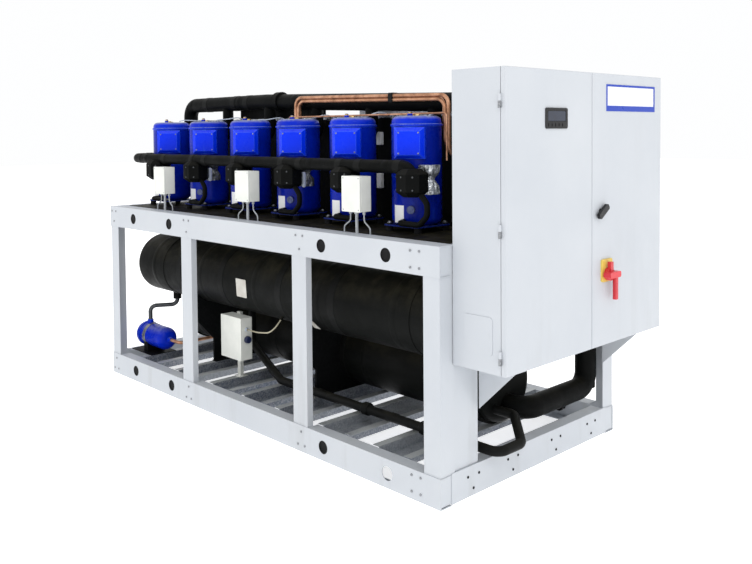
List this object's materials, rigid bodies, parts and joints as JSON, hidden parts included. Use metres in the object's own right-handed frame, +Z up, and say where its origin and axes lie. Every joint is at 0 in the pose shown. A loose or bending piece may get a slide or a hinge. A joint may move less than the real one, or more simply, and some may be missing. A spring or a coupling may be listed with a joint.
{
  "type": "scroll compressor package",
  "caption": "Water-cooled chiller package: hermetic scroll compressors on a welded steel frame above shell-and-tube vessels, with a two-door control cabinet at one end",
  "frame": {"origin": "on the floor, at the centre of the package's plan box", "axes": "+X along the frame toward the control cabinet, +Y to the back, +Z up"},
  "size_m": [3.33, 1.396, 1.88],
  "materials": {
    "frame_paint": "satin",
    "galvanised": "matte",
    "zinc": "satin",
    "blue_paint": "gloss",
    "insulation": "matte",
    "copper": "satin",
    "rubber": "matte",
    "cast_steel": "matte",
    "box_plastic": "matte",
    "conduit_plastic": "matte",
    "black_plastic": "matte",
    "red_plastic": "gloss",
    "yellow_plastic": "gloss",
    "plate_paint": "gloss",
    "switchgear_plastic": "matte",
    "sight_brass": "satin",
    "dark_steel": "matte",
    "cord_jacket": "matte"
  },
  "bodies": {
    "package": {"backing_panel": "insulation", "bearing_housings": "cast_steel", "cabinet_shell": "frame_paint", "cable_conduits": "conduit_plastic", "compressor_caps": "blue_paint", "compressor_shell_1": "blue_paint", "compressor_shell_2": "blue_paint", "compressor_shell_3": "blue_paint", "compressor_shell_4": "blue_paint", "compressor_shell_5": "blue_paint", "compressor_shell_6": "blue_paint", "condenser_shell": "insulation", "copper_lines": "copper", "deck_beams": "galvanised", "discharge_manifold": "insulation", "door_hinges": "zinc", "drier_pipe": "dark_steel", "end_rails": "frame_paint", "evaporator_shell": "insulation", "filter_drier": "blue_paint", "fixed_scrolls": "cast_steel", "floor_cross_members": "galvanised", "frame_fasteners": "zinc", "frame_posts": "frame_paint", "front_bottom_rail": "frame_paint", "front_top_rail": "frame_paint", "junction_boxes": "box_plastic", "liquid_line": "insulation", "motor_stators": "cast_steel", "oldham_couplings": "cast_steel", "pipe_clips": "rubber", "rear_rails": "frame_paint", "rubber_grommets": "rubber", "sensor_cord": "cord_jacket", "sight_glasses": "sight_brass", "suction_manifold": "insulation", "switchgear": "switchgear_plastic", "terminal_boxes": "blue_paint", "tube_bundles": "copper", "vessel_supports": "dark_steel", "water_nozzles": "dark_steel"},
    "crank_1": {"crank_rotor_1": "cast_steel"},
    "orbiter_1": {"orbiting_scroll_1": "cast_steel"},
    "crank_2": {"crank_rotor_2": "cast_steel"},
    "orbiter_2": {"orbiting_scroll_2": "cast_steel"},
    "crank_3": {"crank_rotor_3": "cast_steel"},
    "orbiter_3": {"orbiting_scroll_3": "cast_steel"},
    "crank_4": {"crank_rotor_4": "cast_steel"},
    "orbiter_4": {"orbiting_scroll_4": "cast_steel"},
    "crank_5": {"crank_rotor_5": "cast_steel"},
    "orbiter_5": {"orbiting_scroll_5": "cast_steel"},
    "crank_6": {"crank_rotor_6": "cast_steel"},
    "orbiter_6": {"orbiting_scroll_6": "cast_steel"},
    "left_door_leaf": {"left_door": "frame_paint", "display_panel": "black_plastic"},
    "right_door_leaf": {"right_door": "frame_paint", "name_plate": "plate_paint", "disconnect_base": "yellow_plastic"},
    "latch": {"latch_handle": "black_plastic"},
    "main_switch": {"disconnect_handle": "red_plastic"}
  },
  "joints": [
    {"name": "left_door_hinge", "type": "hinge", "parent": "package", "child": "left_door_leaf", "pos_m": [1.5845, -0.619, 1.2], "axis": [0, 0, 1], "range_deg": [-110, 0]},
    {"name": "right_door_hinge", "type": "hinge", "parent": "package", "child": "right_door_leaf", "pos_m": [1.5845, 0.668, 1.2], "axis": [0, 0, 1], "range_deg": [0, 110]},
    {"name": "latch_turn", "type": "hinge", "parent": "right_door_leaf", "child": "latch", "pos_m": [1.612, 0.093, 1.245], "axis": [1, 0, 0], "range_deg": [-33, 57]},
    {"name": "main_switch_turn", "type": "hinge", "parent": "right_door_leaf", "child": "main_switch", "pos_m": [1.612, 0.143, 0.95], "axis": [1, 0, 0], "range_deg": [0, 90]},
    {"name": "crank_spin_1", "type": "hinge", "parent": "package", "child": "crank_1", "pos_m": [-1.445, -0.345, 1.4], "axis": [0, 0, 1], "continuous": true},
    {"name": "orbit_1", "type": "hinge", "parent": "crank_1", "child": "orbiter_1", "pos_m": [-1.4368, -0.345, 1.5], "axis": [0, 0, 1], "continuous": true},
    {"name": "crank_spin_2", "type": "hinge", "parent": "package", "child": "crank_2", "pos_m": [-0.983, -0.345, 1.4], "axis": [0, 0, 1], "continuous": true},
    {"name": "orbit_2", "type": "hinge", "parent": "crank_2", "child": "orbiter_2", "pos_m": [-0.9748, -0.345, 1.5], "axis": [0, 0, 1], "continuous": true},
    {"name": "crank_spin_3", "type": "hinge", "parent": "package", "child": "crank_3", "pos_m": [-0.521, -0.345, 1.4], "axis": [0, 0, 1], "continuous": true},
    {"name": "orbit_3", "type": "hinge", "parent": "crank_3", "child": "orbiter_3", "pos_m": [-0.5128, -0.345, 1.5], "axis": [0, 0, 1], "continuous": true},
    {"name": "crank_spin_4", "type": "hinge", "parent": "package", "child": "crank_4", "pos_m": [-0.059, -0.345, 1.4], "axis": [0, 0, 1], "continuous": true},
    {"name": "orbit_4", "type": "hinge", "parent": "crank_4", "child": "orbiter_4", "pos_m": [-0.0508, -0.345, 1.5], "axis": [0, 0, 1], "continuous": true},
    {"name": "crank_spin_5", "type": "hinge", "parent": "package", "child": "crank_5", "pos_m": [0.403, -0.345, 1.4], "axis": [0, 0, 1], "continuous": true},
    {"name": "orbit_5", "type": "hinge", "parent": "crank_5", "child": "orbiter_5", "pos_m": [0.4112, -0.345, 1.5], "axis": [0, 0, 1], "continuous": true},
    {"name": "crank_spin_6", "type": "hinge", "parent": "package", "child": "crank_6", "pos_m": [0.865, -0.345, 1.4], "axis": [0, 0, 1], "continuous": true},
    {"name": "orbit_6", "type": "hinge", "parent": "crank_6", "child": "orbiter_6", "pos_m": [0.8732, -0.345, 1.5], "axis": [0, 0, 1], "continuous": true}
  ],
  "couplings": [
    {"joint": "orbit_1", "follows": "crank_spin_1", "ratio": -1},
    {"joint": "orbit_2", "follows": "crank_spin_2", "ratio": -1},
    {"joint": "orbit_3", "follows": "crank_spin_3", "ratio": -1},
    {"joint": "orbit_4", "follows": "crank_spin_4", "ratio": -1},
    {"joint": "orbit_5", "follows": "crank_spin_5", "ratio": -1},
    {"joint": "orbit_6", "follows": "crank_spin_6", "ratio": -1}
  ]
}
